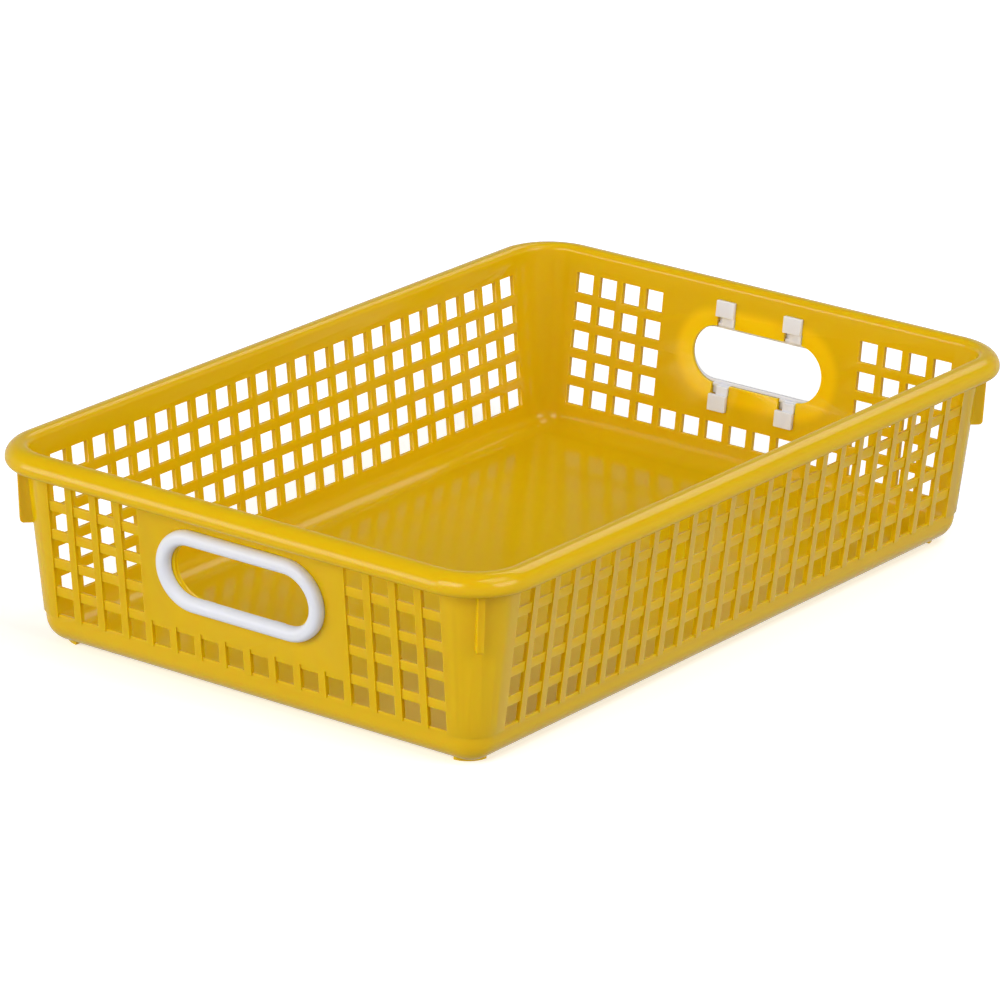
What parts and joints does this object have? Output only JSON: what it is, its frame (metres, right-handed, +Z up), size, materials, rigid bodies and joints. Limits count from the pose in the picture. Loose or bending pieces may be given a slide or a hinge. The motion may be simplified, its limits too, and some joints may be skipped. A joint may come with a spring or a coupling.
{
  "type": "perforated plastic basket",
  "caption": "Shallow yellow plastic basket with leaning perforated walls, a round rim, a solid floor and a white slotted hand grip at each end.",
  "frame": {"origin": "middle of the underside, level with the bottoms of the feet", "axes": "+X along the length, towards the front grip; +Y across; +Z up, out of the open top"},
  "size_m": [0.374, 0.254, 0.084],
  "materials": {
    "yellow_plastic": "glossy moulded polypropylene, warm yellow",
    "white_plastic": "smooth moulded polypropylene, cool white"
  },
  "bodies": {
    "root": {"basket_shell": "yellow_plastic", "front_grip": "white_plastic", "rear_grip": "white_plastic"}
  },
  "joints": []
}
